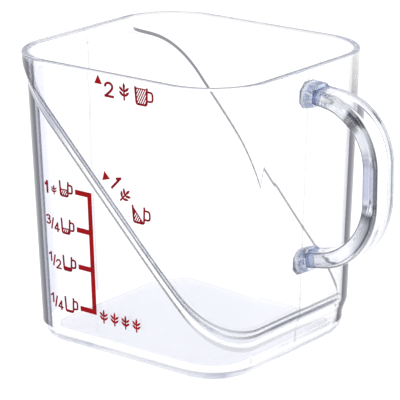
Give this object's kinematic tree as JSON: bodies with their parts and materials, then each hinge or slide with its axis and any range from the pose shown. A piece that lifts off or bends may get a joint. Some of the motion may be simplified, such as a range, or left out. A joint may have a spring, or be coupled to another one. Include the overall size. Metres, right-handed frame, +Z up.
{
  "type": "rice measuring cup",
  "caption": "Clear tapered measuring cup of rounded oblong plan with a slanting ledge, a side strap handle on faceted collars, and a printed fill scale.",
  "frame": {"origin": "on the cup's upright axis, at its flat underside", "axes": "+Z up, +X towards the handle, and the printed scale faces -Y"},
  "size_m": [0.1065, 0.0741, 0.084],
  "materials": {
    "clear_plastic": "polished clear moulding with a faint cool tint",
    "red_ink": "screen-printed ink, slightly glossy"
  },
  "bodies": {
    "root": {"cup_body": "clear_plastic", "upper_handle_collar": "clear_plastic", "lower_handle_collar": "clear_plastic", "handle_grip": "clear_plastic", "grain_mark_1": "red_ink", "grain_mark_2": "red_ink", "grain_mark_3": "red_ink", "grain_mark_4": "red_ink", "half_cup_icon": "red_ink", "half_lower_digit": "red_ink", "half_slash": "red_ink", "half_upper_digit": "red_ink", "ledge_arrow": "red_ink", "ledge_cup_icon": "red_ink", "ledge_digit": "red_ink", "ledge_grain_mark": "red_ink", "one_cup_icon": "red_ink", "one_digit": "red_ink", "one_grain_mark": "red_ink", "quarter_cup_icon": "red_ink", "quarter_lower_digit": "red_ink", "quarter_slash": "red_ink", "quarter_upper_digit": "red_ink", "rim_arrow": "red_ink", "rim_cup_icon": "red_ink", "rim_digit": "red_ink", "rim_grain_mark": "red_ink", "scale_bracket": "red_ink", "three_quarter_cup_icon": "red_ink", "three_quarter_lower_digit": "red_ink", "three_quarter_slash": "red_ink", "three_quarter_upper_digit": "red_ink"}
  },
  "joints": []
}
